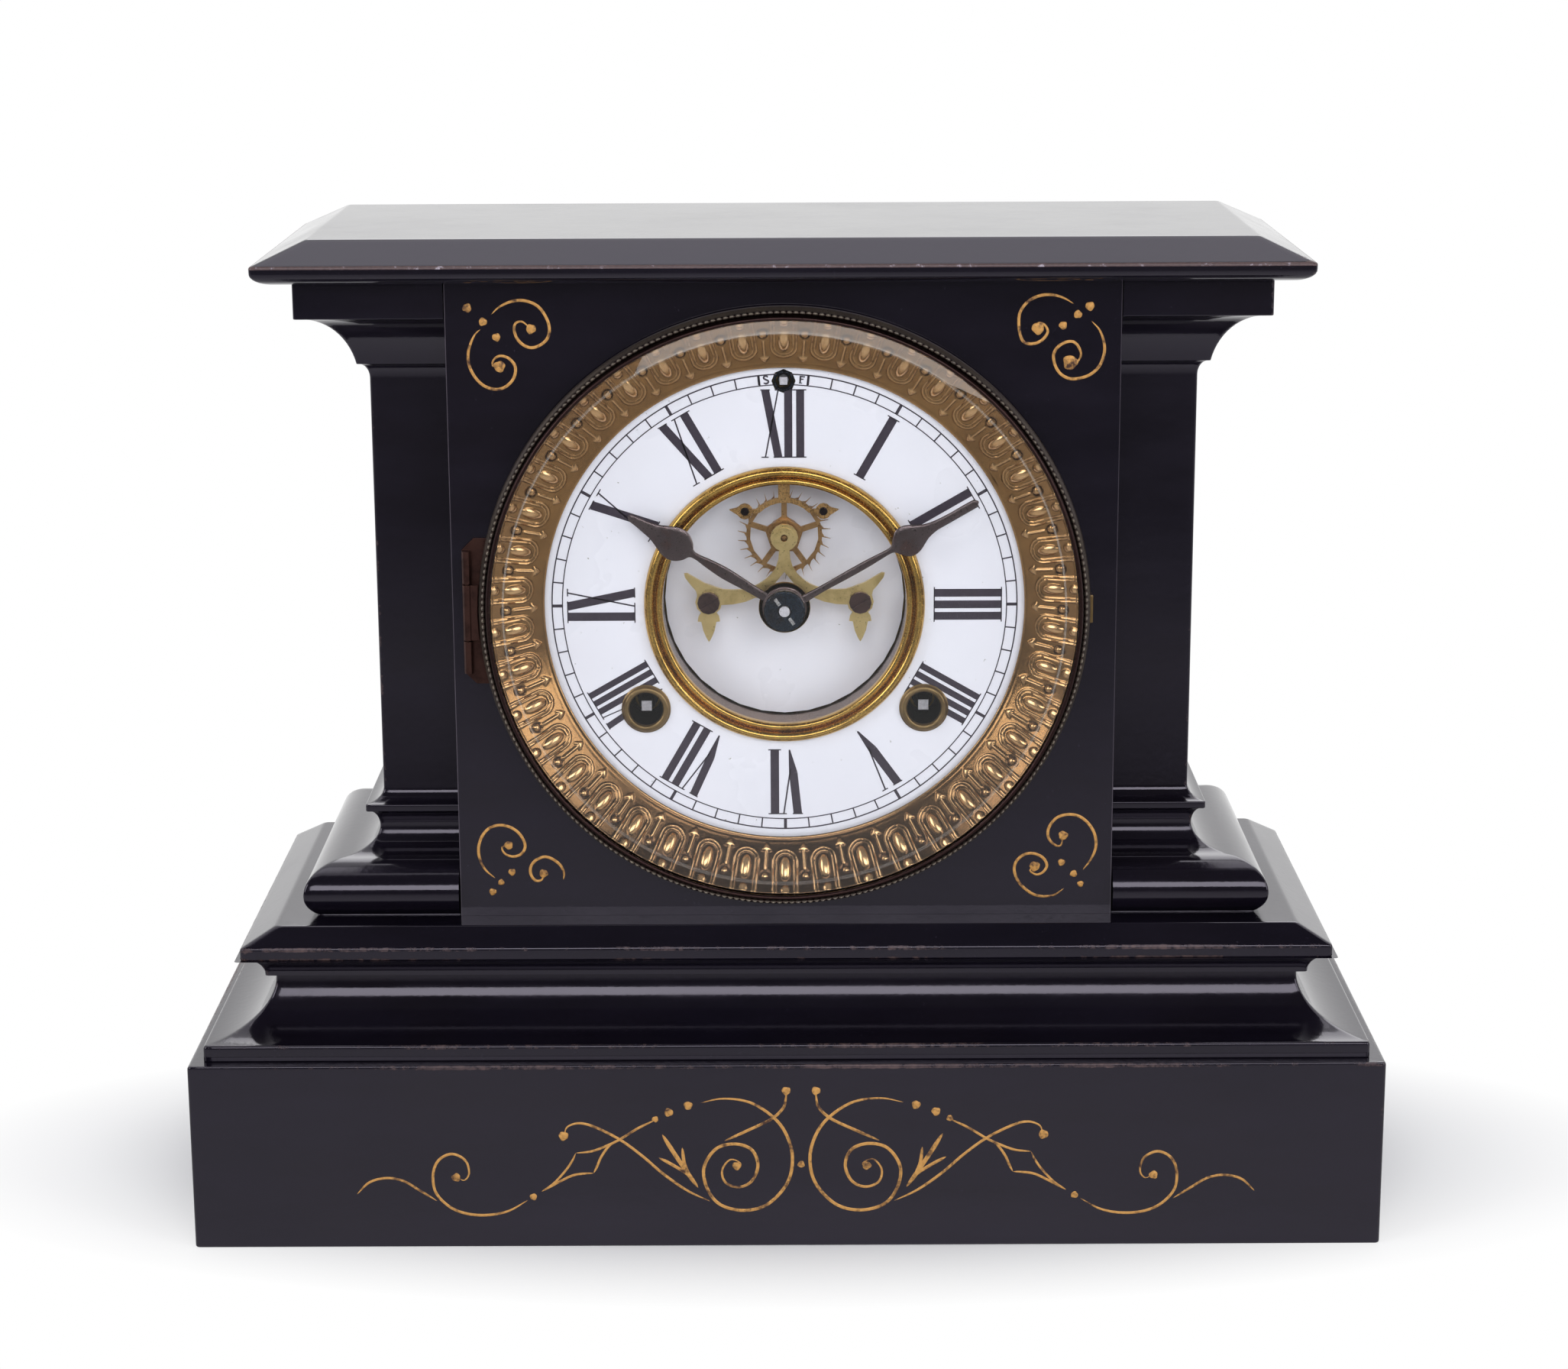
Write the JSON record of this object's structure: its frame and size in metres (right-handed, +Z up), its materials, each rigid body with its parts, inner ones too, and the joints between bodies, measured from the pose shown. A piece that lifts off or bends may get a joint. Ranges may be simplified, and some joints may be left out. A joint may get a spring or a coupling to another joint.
{
  "type": "mantel clock",
  "caption": "Black enamelled iron mantel clock, columned case on a stepped plinth, with a hinged round glass door, white dial, visible escapement, hands, gear trains and pendulum.",
  "frame": {"origin": "middle of the base's underside", "axes": "+Z up, the dial faces -Y, +X to the viewer's right"},
  "size_m": [0.3, 0.1276, 0.2523],
  "materials": {
    "black_enamel": "glossy black stove enamel",
    "iron": "dark",
    "steel": "plain",
    "blued_steel": "blued",
    "rusted_steel": "browned",
    "brass": "polished",
    "aged_brass": "tarnished",
    "gilt": "gilt",
    "copper_brown": "browned copper plate",
    "porcelain": "fired white enamel",
    "glass": "clear"
  },
  "bodies": {
    "case": {"base_block": "black_enamel", "plinth_moulding": "black_enamel", "plinth_slab": "black_enamel", "left_pilaster": "black_enamel", "right_pilaster": "black_enamel", "front_panel": "black_enamel", "back_panel": "black_enamel", "roof_slab": "black_enamel", "left_tie_rod": "steel", "right_tie_rod": "steel", "dial_pan": "aged_brass", "chapter_dial": "porcelain", "centre_dial": "porcelain", "well_ring": "brass", "left_winding_ring": "aged_brass", "right_winding_ring": "aged_brass", "regulator_ring": "blued_steel", "hinge_case_leaf": "copper_brown", "back_door_hinge": "aged_brass", "front_plate": "brass", "back_plate": "brass", "time_mainspring": "blued_steel", "strike_mainspring": "blued_steel", "coil_gong": "blued_steel", "gong_stand": "iron", "escapement_bridge": "brass", "left_bridge_screw": "iron", "right_bridge_screw": "iron", "suspension_post": "brass", "suspension_spring": "steel"},
    "door": {"bezel": "aged_brass", "bezel_glass": "glass", "sight_ring": "gilt", "hinge_door_leaf": "copper_brown", "bezel_catch": "brass"},
    "rear_door": {"back_door": "aged_brass"},
    "time_winder": {"time_winding_arbor": "steel"},
    "strike_winder": {"strike_winding_arbor": "steel"},
    "time_great": {"time_great_wheel": "brass"},
    "time_second": {"time_second_wheel": "brass"},
    "time_centre": {"centre_wheel": "brass"},
    "time_third": {"third_wheel": "brass"},
    "escape": {"escape_wheel": "brass"},
    "strike_great": {"strike_great_wheel": "brass"},
    "strike_second": {"strike_second_wheel": "brass"},
    "strike_third": {"strike_third_wheel": "brass"},
    "strike_warning": {"warning_wheel": "brass"},
    "strike_fly": {"fly": "steel"},
    "minute_drive": {"centre_arbor": "steel", "minute_hand": "rusted_steel", "hand_nut": "blued_steel"},
    "minute_transfer": {"minute_wheel": "brass"},
    "hour_drive": {"hour_wheel": "brass", "hour_hand": "rusted_steel"},
    "pendulum": {"pendulum_rod": "steel", "pendulum_bob": "brass"},
    "pallets": {"verge": "brass"},
    "regulator": {"regulator_arbor": "steel"},
    "regulator_jaws": {"regulator_slide": "brass"},
    "hammer": {"strike_hammer": "iron"}
  },
  "joints": [
    {"name": "bezel_swing", "type": "hinge", "parent": "case", "child": "door", "pos_m": [-0.0787, -0.04175, 0.1597], "axis": [0, 0, -1], "range_deg": [0, 105]},
    {"name": "back_door_swing", "type": "hinge", "parent": "case", "child": "rear_door", "pos_m": [0.0576, 0.0413, 0.1597], "axis": [0, 0, -1], "range_deg": [0, 110]},
    {"name": "time_winding", "type": "hinge", "parent": "case", "child": "time_winder", "pos_m": [0.035, 0, 0.1331], "axis": [0, 1, 0], "range_deg": [0, 2520]},
    {"name": "strike_winding", "type": "hinge", "parent": "case", "child": "strike_winder", "pos_m": [-0.035, 0, 0.1331], "axis": [0, 1, 0], "range_deg": [0, 2520]},
    {"name": "time_great_turn", "type": "hinge", "parent": "case", "child": "time_great", "pos_m": [0.035, 0, 0.1331], "axis": [0, 1, 0], "continuous": true},
    {"name": "time_second_turn", "type": "hinge", "parent": "case", "child": "time_second", "pos_m": [0.0078, 0, 0.14465], "axis": [0, 1, 0], "continuous": true},
    {"name": "time_centre_turn", "type": "hinge", "parent": "case", "child": "time_centre", "pos_m": [0, 0, 0.1597], "axis": [0, 1, 0], "continuous": true},
    {"name": "time_third_turn", "type": "hinge", "parent": "case", "child": "time_third", "pos_m": [0.01315, 0, 0.16972], "axis": [0, 1, 0], "continuous": true},
    {"name": "escape_turn", "type": "hinge", "parent": "case", "child": "escape", "pos_m": [0, 0, 0.1767], "axis": [0, 1, 0], "continuous": true},
    {"name": "strike_great_turn", "type": "hinge", "parent": "case", "child": "strike_great", "pos_m": [-0.035, 0, 0.1331], "axis": [0, 1, 0], "continuous": true},
    {"name": "strike_second_turn", "type": "hinge", "parent": "case", "child": "strike_second", "pos_m": [-0.02735, 0, 0.16164], "axis": [0, 1, 0], "continuous": true},
    {"name": "strike_third_turn", "type": "hinge", "parent": "case", "child": "strike_third", "pos_m": [-0.02141, 0, 0.17797], "axis": [0, 1, 0], "continuous": true},
    {"name": "strike_warning_turn", "type": "hinge", "parent": "case", "child": "strike_warning", "pos_m": [-0.02363, 0, 0.19052], "axis": [0, 1, 0], "continuous": true},
    {"name": "fly_turn", "type": "hinge", "parent": "case", "child": "strike_fly", "pos_m": [-0.01418, 0, 0.19396], "axis": [0, 1, 0], "continuous": true},
    {"name": "minute_hand_turn", "type": "hinge", "parent": "case", "child": "minute_drive", "pos_m": [0, 0, 0.1597], "axis": [0, 1, 0], "continuous": true},
    {"name": "minute_wheel_turn", "type": "hinge", "parent": "case", "child": "minute_transfer", "pos_m": [-0.00175, 0, 0.1498], "axis": [0, 1, 0], "continuous": true},
    {"name": "hour_hand_turn", "type": "hinge", "parent": "case", "child": "hour_drive", "pos_m": [0, 0, 0.1597], "axis": [0, 1, 0], "continuous": true},
    {"name": "pendulum_swing", "type": "hinge", "parent": "case", "child": "pendulum", "pos_m": [0, 0, 0.19818], "axis": [0, 1, 0], "range_deg": [-2, 2]},
    {"name": "verge_rock", "type": "hinge", "parent": "case", "child": "pallets", "pos_m": [0, 0, 0.19818], "axis": [0, 1, 0], "range_deg": [-2, 2]},
    {"name": "regulator_turn", "type": "hinge", "parent": "case", "child": "regulator", "pos_m": [0, 0, 0.2162], "axis": [0, 1, 0], "range_deg": [-40, 40]},
    {"name": "regulator_shift", "type": "slide", "parent": "case", "child": "regulator_jaws", "axis": [0, 0, 1], "range_m": [-0.00097, 0.00097]},
    {"name": "hammer_lift", "type": "hinge", "parent": "case", "child": "hammer", "pos_m": [-0.05, 0, 0.1577], "axis": [0, 1, 0], "range_deg": [0, 12]}
  ],
  "couplings": [
    {"joint": "time_centre_turn", "follows": "time_third_turn", "ratio": -0.083333},
    {"joint": "time_second_turn", "follows": "time_third_turn", "ratio": 0.033333},
    {"joint": "time_great_turn", "follows": "time_third_turn", "ratio": -0.0055556},
    {"joint": "strike_warning_turn", "follows": "fly_turn", "ratio": -0.25},
    {"joint": "strike_third_turn", "follows": "fly_turn", "ratio": 0.05},
    {"joint": "strike_second_turn", "follows": "fly_turn", "ratio": -0.0083333},
    {"joint": "strike_great_turn", "follows": "fly_turn", "ratio": 0.0013889},
    {"joint": "minute_wheel_turn", "follows": "minute_hand_turn", "ratio": -0.33333},
    {"joint": "hour_hand_turn", "follows": "minute_hand_turn", "ratio": 0.083333},
    {"joint": "verge_rock", "follows": "pendulum_swing", "ratio": 1},
    {"joint": "regulator_turn", "follows": "regulator_shift", "rad_per_m": -714.29}
  ]
}
